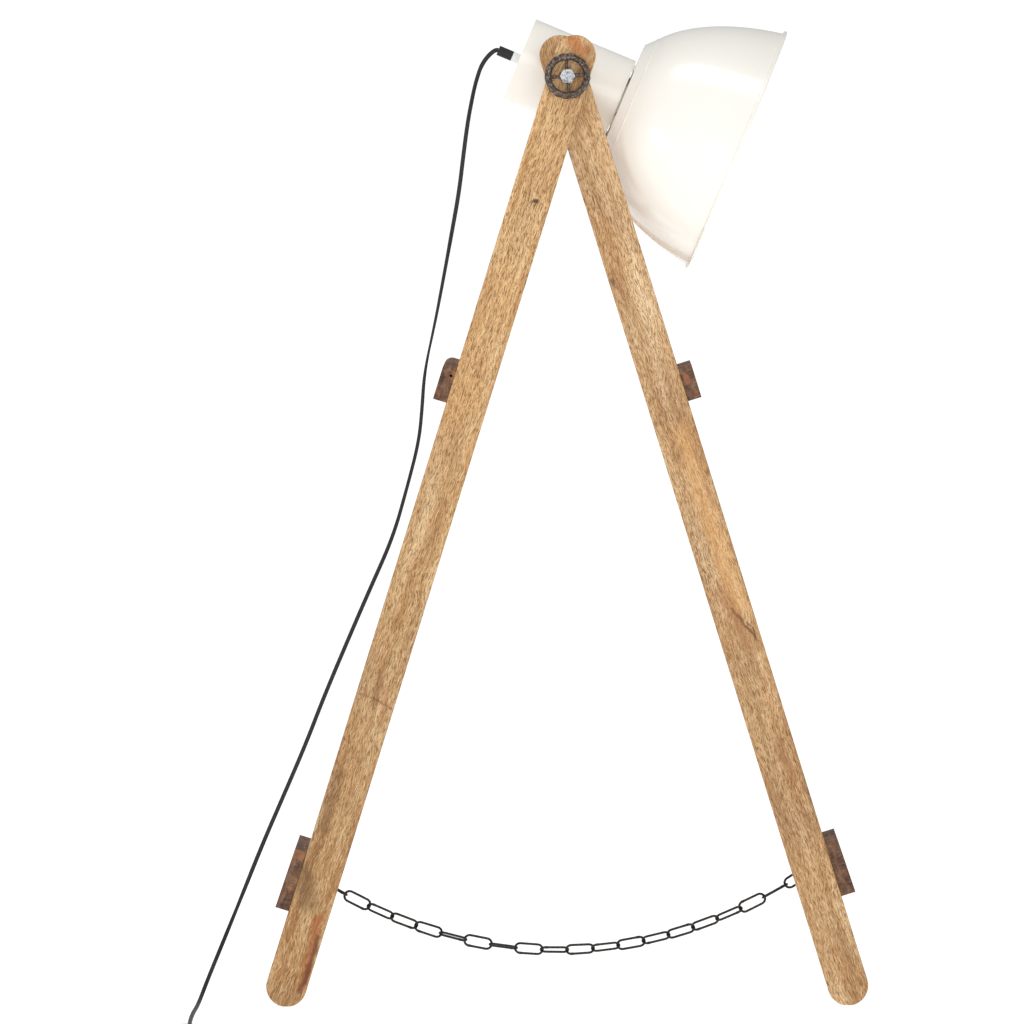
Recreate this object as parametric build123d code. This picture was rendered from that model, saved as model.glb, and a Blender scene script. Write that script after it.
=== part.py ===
from build123d import *
import math
import os

# Adjustable floor lamp: two pairs of wooden legs crossed at a clamp bolt, a spun metal head that
# tilts on the same bolts, a slack chain between the lower rungs and a flat twin cord.
#
# Millimetres, +Z up. X runs across the spread legs, Y along the rungs, and the origin is on the
# floor midway between the feet. The outer pair of legs slants to -X, the inner pair to +X.

# Pivot and legs
PIVOT_Z = 1143.0  # height of the clamp bolts
SPREAD = 17.235  # slant of each pair of legs from upright, degrees
LEG_WIDTH = 50.0
LEG_THICK = 20.0
LEG_TOP = 27.0  # from the bolt up to the centre of the rounded top end
LEG_EASE = 1.5  # eased edge of the boards
BOLT_OFFSET = 1.5  # the bolt hole stands this far off a board's centreline
FOOT_FLAT = 0.4  # depth of the flat that each rounded foot stands on

# Places across the lamp, from the middle
INNER_Y = 78.0  # inner face of the inner legs
WASHER = 1.5  # thickness of every flat washer
OUTER_Y = INNER_Y + LEG_THICK + WASHER  # inner face of the outer legs
HUB_Y = OUTER_Y + LEG_THICK + WASHER  # back face of a handwheel

# Clamp bolts and handwheels
BOLT_R = 4.0
HOLE_R = 4.1
WASHER_R = 12.0  # of the washers between the legs
HUB_WASHER_R = 7.6  # of the washers under the handwheels, hidden by their hubs
WHEEL_R = 28.4
WHEEL_RIM = 3.7  # half the thickness of the round rim
WHEEL_TURN = -5.0  # how far the spokes stand off upright, degrees
HUB_SIDE = 15.0
HUB_LENGTH = 10.0
SPOKE_R = 1.9
BOLT_HEAD = 16.5  # across the flats
BOLT_HEAD_LENGTH = 6.0
NUT_Y = 44.0  # inner end of the nuts inside the head
NUT_WIDTH = 13.0
THREAD_PLAY = 0.05

# Rungs: distance down the leg, height, thickness at the top and at the bottom
OUTER_UPPER_RUNG = (402.0, 49.0, 17.0, 17.0)
OUTER_LOWER_RUNG = (1043.0, 76.0, 15.0, 17.0)
INNER_UPPER_RUNG = (404.0, 42.0, 17.0, 17.0)
INNER_LOWER_RUNG = (1029.0, 68.0, 16.0, 18.0)
RUNG_EASE = 0.8
WANE = (11.0, 9.0)  # the natural rounded corner of the outer upper rung, height and depth
KNOT_HOLE_R = 1.8
KNOT_HOLE_DEPTH = 12.0
KNOT_HOLE_PLACE = (4.0, 9.0)  # out from the leg and up from the rung's middle
SCREW_R = 2.0
SCREW_HEAD_R = 4.0
SCREW_LENGTH = 42.0

# Head, measured along its axis from the clamp bolts, + towards the mouth
HEAD_TILT = 22.7  # the mouth looks this far below level, degrees
HEAD_DROP = 3.8  # the head's axis runs this far under the bolts
SHEET = 1.2  # wall of the spun sheet metal
HOUSING_R = 53.4
HOUSING_BACK = -64.4
HOUSING_FRONT = 70.9
BACK_PLATE_X = -61.0
SHADE_BACK = 73.4  # rear face of the shade's flat back
SHADE_HOLE_R = 36.0
SHADE_CORNER = (SHADE_BACK, 76.0)
BOWL = ((85.3, 88.3), (102.4, 105.3), (123.3, 119.8), (148.2, 132.4), (187.0, 146.2), (226.7, 155.0))
SEAM_BEAD_R = 0.9
RIM_BEAD_R = 2.2
RIM_X = 227.6
RIM_R = 156.6
GLAND_TIP = -72.4
GLAND_R = 6.0
NIPPLE_R = 5.0
GRIP_TIP = -91.3
GRIP_R = 6.2
GRIP_SOCKET = 5.0  # depth of the grip's mouth, where the cord starts
GRIP_PLAY = 0.6
CORD_STRAIGHT = 7.5  # length of cord that stays in line with the grip
TAB_WIDTH = 14.0
TAB_LENGTH = 17.0
TAB_FOOT = 13.0
BLOCK_SIZE = (12.0, 26.0, 14.0)
BLOCK_RISE = 24.0
BLOCK_HOLE_R = 2.0
BLOCK_HOLE_Y = 7.0
SPACER_R = 13.0

# Lamp holder, for a screw cap of 27 mm
HOLDER_R = 20.0
HOLDER_BACK = 24.0
HOLDER_FRONT = 76.0
HOLDER_FLOOR = 8.0
SLEEVE_R = 14.6
SOCKET_R = 13.6
LEAD_R = 3.0
CONTACT_R = 6.0
STRAP_WIDTH = 22.0
STRAP_THICK = 2.0
STRAP_HALF = 50.9
STRAP_FOOT = 14.0

# Chain of long oval links and its two screw eyes
LINKS = 20
LINK_PITCH = 31.8
LINK_PLAY = 0.25
LINK_WIRE_R = 1.3
LINK_WIDTH = 16.0
LINK_ROLLS = (90, 5, -55, 35, -30, 70, -5, 75, -28, 60, -40, 50, -35, 45, -45, 40, -65, 5, 88, 5)
EYE_REACH = 30.5  # from the rung's inner face to the inside of the ring's far end
EYE_WIRE_R = 1.75
EYE_RING_R = 6.5
EYE_SHANK = 10.0  # depth of the screw in the rung

# Cord, coil, foot switch and plug, all on the floor beyond the lamp
CORD_R = 2.5
FLOOR = CORD_R  # height of the cord's middle where it lies on the floor
SWITCH_Y = -562.0
SWITCH_X = -452.0
SWITCH_LENGTH = 70.0
SWITCH_WIDTH = 34.0
SWITCH_SPLIT = 8.0
SWITCH_TOP = 15.0
SWITCH_WALL = 2.0
SWITCH_CORNER = 12.0
NOSE_R = 4.5
NOSE_LENGTH = 8.0
NOSE_Z = 5.5
BUTTON_R = 12.0
BUTTON_PLAY = 0.3
BUTTON_TOP = 18.0
BUTTON_BASE = 10.5
COIL_X = -375.0
COIL_Y = -620.0
COIL_IN = 21.5
COIL_OUT = 38.5
COIL_BASE = 0.8
COIL_TOP = 11.8
TIE_WIDTH = 8.0
TIE_WALL = 0.8
COIL_TURN_OUT = 35.2  # radius of the outermost turn, which ends in the plug
PLUG_Y = COIL_Y - COIL_TURN_OUT
PLUG_Z = 7.0
PLUG_NOSE = -364.0  # where the cord enters the plug's nose
PLUG_BACK = -342.0
PLUG_FRONT = -304.0
PLUG_NOSE_R = 3.2
PIN_R = 2.0
PIN_LENGTH = 19.0
PIN_GAP = 19.0

CORD_RUN = [
    (-94.6, 0, 1170.9),
    (-102.6, 0, 1163.2),
    (-108, 0, 1153.6),
    (-112.4, 0, 1139.5),
    (-116.6, 0, 1121.5),
    (-121.6, 0, 1092),
    (-128.3, 0, 1048),
    (-135, 0, 1000),
    (-144, 0, 950),
    (-154, 0, 895),
    (-164.8, 0, 838),
    (-178, 0, 778),
    (-181, 0, 730),
    (-185, 0, 690),
    (-199.5, 0, 634),
    (-217, 0, 572),
    (-247, 0, 505),
    (-275, 0, 440),
    (-302, 0, 376),
    (-325.5, 0, 315),
    (-354, -2, 249),
    (-380, -6, 189),
    (-405.5, -14, 125),
    (-427, -30, 70),
    (-443.5, -60, 30),
    (-452.5, -103, 7),
    (-455, -160, FLOOR),
    (-456.2, -220, FLOOR),
    (-456.4, -280, FLOOR),
    (-456, -338, FLOOR),
    (-454.6, -395, FLOOR),
    (-453, -450, 3.5),
    (SWITCH_X, -495, NOSE_Z),
    (SWITCH_X, SWITCH_Y + SWITCH_LENGTH / 2 + NOSE_LENGTH, NOSE_Z),
]
CORD_LINK = [
    (SWITCH_X, SWITCH_Y - SWITCH_LENGTH / 2 - NOSE_LENGTH, NOSE_Z),
    (SWITCH_X, -618, NOSE_Z),
    (-445.5, -634, 5),
    (-431, -646.5, 5),
    (-410, -652, 5),
    (-390, -651.5, 5.5),
]

SLANT = math.radians(SPREAD)
EDGE = LEG_WIDTH / 2 - BOLT_OFFSET  # from the bolt's line to a leg's outer edge
FOOT_DROP = (PIVOT_Z - LEG_WIDTH / 2 + FOOT_FLAT - BOLT_OFFSET * math.sin(SLANT)) / math.cos(SLANT)
FAR = 2000.0  # longer than anything it cuts
NEAR, AWAY = -1, 1  # the two ends of the rungs
OUTER, INNER = -1, 1  # the two pairs of legs


def on_leg(side, shape):
    """Stands a piece made along an upright leg at the pivot, slanted as its pair of legs is."""
    return Pos(0, 0, PIVOT_Z) * Rot(0, -side * SPREAD, 0) * shape


def on_head(shape):
    """Tilts a piece made along a level head at the pivot."""
    return Pos(0, 0, PIVOT_Z) * Rot(0, HEAD_TILT, 0) * shape


def on_axis(shape):
    """Tilts a piece made along the head's own axis, which runs a little under the bolts."""
    return on_head(Pos(0, 0, -HEAD_DROP) * shape)


def rod_y(radius, start, end):
    """A round rod along Y."""
    return Pos(0, (start + end) / 2, 0) * Rot(90, 0, 0) * Cylinder(radius, abs(end - start))


def rod_x(radius, start, end):
    """A round rod along X."""
    return Pos((start + end) / 2, 0, 0) * Rot(0, 90, 0) * Cylinder(radius, abs(end - start))


def tube_x(radius, bore, start, end):
    """A tube along X."""
    return rod_x(radius, start, end) - rod_x(bore, start - 1, end + 1)


def hex_y(width, start, end):
    """A hexagonal bar along Y, with corners to both sides."""
    plane = Plane(origin=(0, start, 0), x_dir=(1, 0, 0), z_dir=(0, math.copysign(1, end - start), 0))
    return extrude(plane * RegularPolygon(width / 2, 6, major_radius=False), abs(end - start))


def cylinder_at(radius, low, high, x, y):
    """An upright round post."""
    return Pos(x, y, (low + high) / 2) * Cylinder(radius, high - low)


# ---- legs and rungs ----


def leg(side, end, inner_face):
    """One leg: a board with half-round ends, eased edges, a bolt hole and a flat to stand on."""
    upright = Plane(
        origin=(-side * BOLT_OFFSET, end * (inner_face + LEG_THICK / 2), (LEG_TOP - FOOT_DROP) / 2),
        x_dir=(0, 0, 1),
        z_dir=(0, 1, 0),
    )
    board = extrude(upright * SlotCenterToCenter(LEG_TOP + FOOT_DROP, LEG_WIDTH), LEG_THICK / 2, both=True)
    board = fillet(board.faces().filter_by(Axis.Y).edges(), LEG_EASE)
    board = board - rod_y(HOLE_R, -FAR, FAR)
    return on_leg(side, board) - Pos(0, 0, -FAR / 2) * Box(FAR, FAR, FAR)


def thickness_at(rung, rise):
    """Thickness of a rung at a height above its middle."""
    _, height, top, bottom = rung
    return bottom + (top - bottom) * (rise / height + 0.5)


def rung_board(side, rung, half_span, wane=None):
    """A rung that lies on the outer edges of its two legs."""
    drop, height, top, bottom = rung
    high = height / 2

    def at(out, rise):
        return (side * (EDGE + out), 0, rise - drop)

    if wane:
        tall, deep = wane
        start, end = at(top - deep, high), at(top, high - tall)
        corner = ThreePointArc(start, at(top - deep * 0.25, high - tall * 0.32), end)
        profile = make_face(corner + Polyline(end, at(bottom, -high), at(0, -high), at(0, high), start))
    else:
        corners = [at(top, high), at(bottom, -high), at(0, -high), at(0, high)]
        profile = make_face(Polyline(*corners, close=True))
    board = extrude(profile, half_span, dir=(0, 1, 0), both=True)
    return chamfer(board.faces().filter_by(Axis.Y).edges(), RUNG_EASE)


def rung_screws(side, rung, leg_middle):
    """The wood screws of one rung, two into each leg, sunk from the rung's outer face."""
    drop, height, _, _ = rung
    screws = []
    for end in (NEAR, AWAY):
        for share in (-0.25, 0.25):
            rise = share * height
            face = EDGE + thickness_at(rung, rise) - RUNG_EASE
            shank = tube_cone(SCREW_HEAD_R, SCREW_R, SCREW_LENGTH)
            place = Pos(side * face, end * leg_middle, rise - drop) * Rot(0, -side * 90, 0)
            screws.append(on_leg(side, place * shank))
    return screws


def tube_cone(head_radius, radius, length):
    """A sunk-head screw along +Z, with its flat head at the start, a crossed slot and a point."""
    sink = head_radius - radius
    half = [(0, 0), (head_radius, 0), (radius, sink), (radius, length - 2 * radius), (0, length)]
    screw = revolve(Plane.XZ * make_face(Polyline(*half, close=True)), Axis.Z)
    for turn in (0, 90):
        screw = screw - Rot(0, 0, turn) * Box(head_radius * 1.1, radius * 0.35, radius * 1.2)
    return screw


def chain_eye(side, rung, turn):
    """A screw eye in the middle of a lower rung's inner face, its ring turned about its shank."""
    drop = rung[0]
    ring_x = EDGE - EYE_REACH + EYE_RING_R - EYE_WIRE_R
    ring = Pos(side * ring_x, 0, 0) * Rot(turn, 0, 0) * Torus(EYE_RING_R, EYE_WIRE_R)
    shank = rod_x(EYE_WIRE_R, side * (ring_x + EYE_RING_R), side * (EDGE + EYE_SHANK))
    return on_leg(side, Pos(0, 0, -drop) * (ring + shank))


def eye_end(side, rung):
    """Where the first link bears on the inside of an eye."""
    x, z = side * (EDGE - EYE_REACH), -rung[0]
    cos, sin = math.cos(SLANT), math.sin(SLANT) * side
    return Vector(x * cos - z * sin, 0, PIVOT_Z + x * sin + z * cos)


def washers(start, radius):
    """A pair of flat washers on the two bolts."""
    rings = []
    for end in (NEAR, AWAY):
        ring = rod_y(radius, end * start, end * (start + WASHER)) - rod_y(HOLE_R, -FAR, FAR)
        rings.append(Pos(0, 0, PIVOT_Z) * ring)
    return rings


# ---- chain ----


def chain_joints(start, end):
    """The points where the links meet, along the catenary between the two eyes."""
    length = LINKS * LINK_PITCH
    span, rise = end.X - start.X, end.Z - start.Z
    level = math.sqrt(length**2 - rise**2)
    low, high = span / 10, span * 10
    for _ in range(80):
        size = (low + high) / 2
        if 2 * size * math.sinh(span / (2 * size)) > level:
            low = size
        else:
            high = size
    lowest = (start.X + end.X) / 2 - size * math.atanh(rise / length)
    first = size * math.sinh((start.X - lowest) / size)
    base = start.Z - math.sqrt(size**2 + first**2)
    points = []
    for i in range(LINKS + 1):
        along = first + i * LINK_PITCH
        out = size * math.asinh(along / size)
        points.append(Vector(lowest + out, 0, base + math.sqrt(size**2 + along**2)))
    return points


def link(start, end, roll):
    """One oval link between two joints, rolled about its own length."""
    bow = LINK_WIDTH / 2 - LINK_WIRE_R
    straight = (LINK_PITCH + LINK_PLAY) / 2 + LINK_WIRE_R - bow
    path = SlotCenterToCenter(2 * straight, 2 * bow).wire()
    ring = sweep(Plane(origin=path @ 0, z_dir=path % 0) * Circle(LINK_WIRE_R), path=path)
    along = end - start
    place = Plane(origin=start + along / 2, x_dir=along, z_dir=(0, -1, 0))
    return place * Rot(roll, 0, 0) * ring


# ---- head ----


def housing():
    """The head's tube, with a rolled lip at its back and a hole for each bolt."""
    lip_r = SHEET + 0.3
    lip = Pos(HOUSING_BACK + lip_r, 0, 0) * Rot(0, 90, 0) * Torus(HOUSING_R, lip_r)
    tube = tube_x(HOUSING_R, HOUSING_R - SHEET, HOUSING_BACK + lip_r, HOUSING_FRONT)
    bore = rod_x(HOUSING_R - SHEET, HOUSING_BACK - 5, HOUSING_FRONT)
    return on_axis(tube + (lip - bore)) - Pos(0, 0, PIVOT_Z) * rod_y(HOLE_R, -FAR, FAR)


def back_plate():
    """The disc that closes the back of the tube, with the hole for the cord's gland."""
    disc = rod_x(HOUSING_R - SHEET, BACK_PLATE_X, BACK_PLATE_X + SHEET)
    return on_axis(disc - rod_x(NIPPLE_R, -FAR, 0))


def inset(points, depth):
    """The same curve one wall further in, point by point."""
    inner = []
    for i, (x, r) in enumerate(points):
        x0, r0 = points[max(i - 1, 0)]
        x1, r1 = points[min(i + 1, len(points) - 1)]
        length = math.hypot(x1 - x0, r1 - r0)
        inner.append((x + depth * (r1 - r0) / length, r - depth * (x1 - x0) / length))
    return inner


def shade():
    """The spun bowl: a flat back, a slanted shoulder, a seam bead, an ogive and a rolled rim."""
    inside = inset(BOWL, SHEET)
    back = SHADE_BACK + SHEET
    flat = [(back, SHADE_CORNER[1] - SHEET / 2), (back, SHADE_HOLE_R), (SHADE_BACK, SHADE_HOLE_R)]
    skin = (
        Spline(*BOWL)
        + Line(BOWL[-1], inside[-1])
        + Spline(*inside)
        + Polyline(inside[0], *flat, SHADE_CORNER, BOWL[0])
    )
    bowl = revolve(Plane.XZ * make_face(skin), Axis.X)
    seam = Pos(BOWL[0][0], 0, 0) * Rot(0, 90, 0) * Torus(BOWL[0][1], SEAM_BEAD_R)
    rim = Pos(RIM_X, 0, 0) * Rot(0, 90, 0) * Torus(RIM_R, RIM_BEAD_R)
    return on_axis(bowl + seam + rim)


def shade_tabs():
    """Four bent tabs that hold the shade a little clear of the tube."""
    top = HOUSING_R - SHEET - SHEET / 2
    tab = Pos(SHADE_BACK - TAB_LENGTH / 2, 0, top - SHEET / 2) * Box(TAB_LENGTH, TAB_WIDTH, SHEET)
    tab = tab + Pos(SHADE_BACK - SHEET / 2, 0, top - TAB_FOOT / 2) * Box(SHEET, TAB_WIDTH, TAB_FOOT)
    return [on_axis(Rot(turn, 0, 0) * tab) for turn in (30, 120, 210, 300)]


def holder_pieces():
    """The lamp holder: insulating body, screw sleeve, centre contact and the strap that carries it."""
    floor = HOLDER_BACK + HOLDER_FLOOR
    body = tube_x(HOLDER_R, LEAD_R, HOLDER_BACK, HOLDER_FRONT) - rod_x(SLEEVE_R, floor, HOLDER_FRONT + 1)
    sleeve = tube_x(SLEEVE_R, SOCKET_R, floor + HOLDER_FLOOR / 2, HOLDER_FRONT - HOLDER_FLOOR / 2)
    contact = rod_x(LEAD_R, HOLDER_BACK, floor) + rod_x(CONTACT_R, floor, floor + LEAD_R / 2)
    middle = HOLDER_BACK - STRAP_THICK / 2
    strap = Pos(middle, 0, 0) * Box(STRAP_THICK, STRAP_WIDTH, 2 * STRAP_HALF)
    foot = Box(STRAP_FOOT, STRAP_WIDTH, SHEET)
    for up in (-1, 1):
        strap = strap + Pos(HOLDER_BACK - STRAP_FOOT / 2, 0, up * (STRAP_HALF - SHEET / 2)) * foot
    strap = strap - rod_x(NIPPLE_R, 0, HOLDER_BACK + 1)
    return {
        "lampholder_body": on_axis(body),
        "lampholder_sleeve": on_axis(sleeve),
        "lampholder_contact": on_axis(contact),
        "lampholder_strap": on_axis(strap),
    }


def gland():
    """The threaded nipple that brings the cord through the back plate."""
    inside = BACK_PLATE_X + GLAND_R
    nipple = rod_x(GLAND_R, GLAND_TIP, BACK_PLATE_X) + rod_x(NIPPLE_R, BACK_PLATE_X, inside)
    return on_axis(nipple - rod_x(CORD_R, GLAND_TIP - 1, FAR))


def grip():
    """The black cord grip on the gland, with a mouth that the cord's own solid starts in."""
    barrel = fillet(rod_x(GRIP_R, GRIP_TIP, GLAND_TIP).edges(), 0.6)
    mouth = rod_x(CORD_R + GRIP_PLAY, GRIP_TIP - 1, GRIP_TIP + GRIP_SOCKET)
    bore = rod_x(CORD_R, GRIP_TIP + 2 * GRIP_SOCKET, GLAND_TIP + 1)
    return on_axis(barrel - mouth - bore)


def terminal_block():
    """The block inside the back of the head that joins the cord to the holder's leads."""
    block = Box(*BLOCK_SIZE)
    for y in (-BLOCK_HOLE_Y, BLOCK_HOLE_Y):
        block = block - Pos(0, y, 0) * rod_x(BLOCK_HOLE_R, -FAR, FAR)
    return on_axis(Pos(BACK_PLATE_X + SHEET + BLOCK_SIZE[0] / 2, 0, BLOCK_RISE) * block)


def pivot_spacers():
    """The round spacers between the tube and the inner legs."""
    spacers = []
    tube = on_axis(rod_x(HOUSING_R, -HOUSING_R, HOUSING_R))
    hole = rod_y(HOLE_R, -FAR, FAR)
    for end in (NEAR, AWAY):
        spacer = rod_y(SPACER_R, end * (HOUSING_R - SPACER_R / 2), end * INNER_Y)
        spacers.append(on_head(spacer - hole) - tube)
    return spacers


def pivot_nuts():
    """The nuts welded inside the tube, shaped to its wall."""
    nuts = []
    bore = on_axis(rod_x(HOUSING_R - SHEET, -HOUSING_R, HOUSING_R))
    thread = rod_y(BOLT_R + THREAD_PLAY, -FAR, FAR)
    for end in (NEAR, AWAY):
        nut = hex_y(NUT_WIDTH, end * NUT_Y, end * HOUSING_R)
        nuts.append(on_head(nut - thread) & bore)
    return nuts


# ---- clamp bolts and handwheels ----


def clamp_bolt(end):
    """A bolt with a hexagonal head and a crossed slot, from the handwheel to the nut in the head."""
    top = HUB_Y + HUB_LENGTH
    head = hex_y(BOLT_HEAD, end * top, end * (top + BOLT_HEAD_LENGTH))
    head = head & rod_y(BOLT_HEAD * 0.555, end * top, end * (top + BOLT_HEAD_LENGTH))
    for turn in (20, 110):
        slot = Box(BOLT_HEAD * 0.55, 5.0, 2.0)
        head = head - Pos(0, end * (top + BOLT_HEAD_LENGTH), 0) * Rot(0, turn, 0) * slot
    return Pos(0, 0, PIVOT_Z) * (rod_y(BOLT_R, end * (NUT_Y - 1), end * top) + head)


def handwheel(end):
    """A cast handwheel: a round rim, four spokes and a square hub set cornerwise."""
    middle = end * (HUB_Y + 4.5)
    wheel = Pos(0, end * (HUB_Y + HUB_LENGTH / 2), 0) * Rot(0, 45, 0) * Box(HUB_SIDE, HUB_LENGTH, HUB_SIDE)
    for turn in range(0, 360, 90):
        spoke = Pos(0, middle, WHEEL_R / 2 - 1) * Cylinder(SPOKE_R, WHEEL_R - 8)
        wheel = wheel + Rot(0, turn + 0.1, 0) * spoke
    section = Pos(WHEEL_R - WHEEL_RIM, middle) * Circle(WHEEL_RIM)
    wheel = wheel + revolve(section, Axis.Y) - rod_y(BOLT_R, -FAR, FAR)
    return Pos(0, 0, PIVOT_Z) * Rot(0, WHEEL_TURN, 0) * wheel


# ---- cord, switch and plug ----


def cord_tube(points, name):
    """A plain tube along straight runs joined by arcs as large as the runs allow."""
    points = [Vector(*p) for p in points]
    radii = []
    for a, b, c in zip(points, points[1:], points[2:]):
        turn = math.radians((b - a).get_angle(c - b))
        radii.append(0.45 * min((b - a).length, (c - b).length) / math.tan(turn / 2))
    path = FilletPolyline(*points, radius=radii)
    start = Plane(origin=path @ 0, z_dir=path % 0)
    tube = sweep(start * Circle(CORD_R), path=path)
    print(name, "arc radii", [round(r) for r in radii], "length", round(path.length))
    share = tube.volume / (math.pi * CORD_R**2 * path.length)
    print(name, "volume over section times length", round(share, 4))
    return tube


def switch_box(low, high, grow):
    """A block with rounded ends, as wide and long as the foot switch and grow."""
    outline = RectangleRounded(SWITCH_WIDTH + 2 * grow, SWITCH_LENGTH + 2 * grow, SWITCH_CORNER + grow)
    return Pos(SWITCH_X, SWITCH_Y, low) * extrude(outline, high - low)


def foot_switch():
    """The foot switch in the cord: tray, cover and push button."""
    tray = switch_box(0, SWITCH_SPLIT, 0) - switch_box(SWITCH_WALL, SWITCH_SPLIT + 1, -SWITCH_WALL)
    for end in (NEAR, AWAY):
        wall = end * SWITCH_LENGTH / 2
        nose = Pos(SWITCH_X, SWITCH_Y, NOSE_Z) * rod_y(NOSE_R, wall, wall + end * NOSE_LENGTH)
        tray = tray + nose
    cover = fillet(switch_box(SWITCH_SPLIT, SWITCH_TOP, 0).faces().sort_by(Axis.Z)[-1].edges(), 4.0)
    cover = cover - switch_box(SWITCH_SPLIT - 1, SWITCH_TOP - SWITCH_WALL, -SWITCH_WALL - 1)
    cover = cover - cylinder_at(BUTTON_R + BUTTON_PLAY, SWITCH_SPLIT, SWITCH_TOP + 1, SWITCH_X, SWITCH_Y)
    button = cylinder_at(BUTTON_R, BUTTON_BASE, BUTTON_TOP, SWITCH_X, SWITCH_Y)
    button = fillet(button.edges().sort_by(Axis.Z)[-1], 1.5)
    flange = cylinder_at(BUTTON_R + 1.2, BUTTON_BASE, BUTTON_BASE + 1.5, SWITCH_X, SWITCH_Y)
    return {"foot_switch_tray": tray, "foot_switch_cover": cover, "foot_switch_button": button + flange}


def coil():
    """The outer shape of the put-away turns."""
    ring = cylinder_at(COIL_OUT, COIL_BASE, COIL_TOP, COIL_X, COIL_Y)
    ring = ring - cylinder_at(COIL_IN, 0, COIL_TOP + 1, COIL_X, COIL_Y)
    return chamfer(ring.faces().filter_by(Axis.Z).edges(), 2.0)


def coil_tie(ring):
    """The strap that holds the turns together."""
    middle = COIL_X - (COIL_IN + COIL_OUT) / 2
    length = COIL_OUT - COIL_IN + 2 * TIE_WALL
    height = COIL_TOP + TIE_WALL
    return Pos(middle, COIL_Y, height / 2) * Box(length, TIE_WIDTH, height) - ring


def plug():
    """A flat two-pin plug that lies beside the coil, its pins along +X."""
    back = Plane(origin=(PLUG_BACK, PLUG_Y, PLUG_Z), x_dir=(0, 1, 0), z_dir=(1, 0, 0))
    front = Plane(origin=(PLUG_FRONT, PLUG_Y, PLUG_Z), x_dir=(0, 1, 0), z_dir=(1, 0, 0))
    body = loft([back * RectangleRounded(12, 9, 3.5), front * RectangleRounded(27, 13.6, 5)])
    nose = Pos(0, PLUG_Y, PLUG_Z) * rod_x(PLUG_NOSE_R, PLUG_NOSE, PLUG_BACK)
    pins = []
    for side in (-1, 1):
        pin = rod_x(PIN_R, PLUG_FRONT, PLUG_FRONT + PIN_LENGTH)
        pin = Pos(0, PLUG_Y + side * PIN_GAP / 2, PLUG_Z) * pin
        pins.append(fillet(pin.edges().sort_by(Axis.X)[-1], PIN_R / 2))
    return {"plug_body": body + nose, "plug_pins": pins}


# ---- the whole lamp ----


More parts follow.
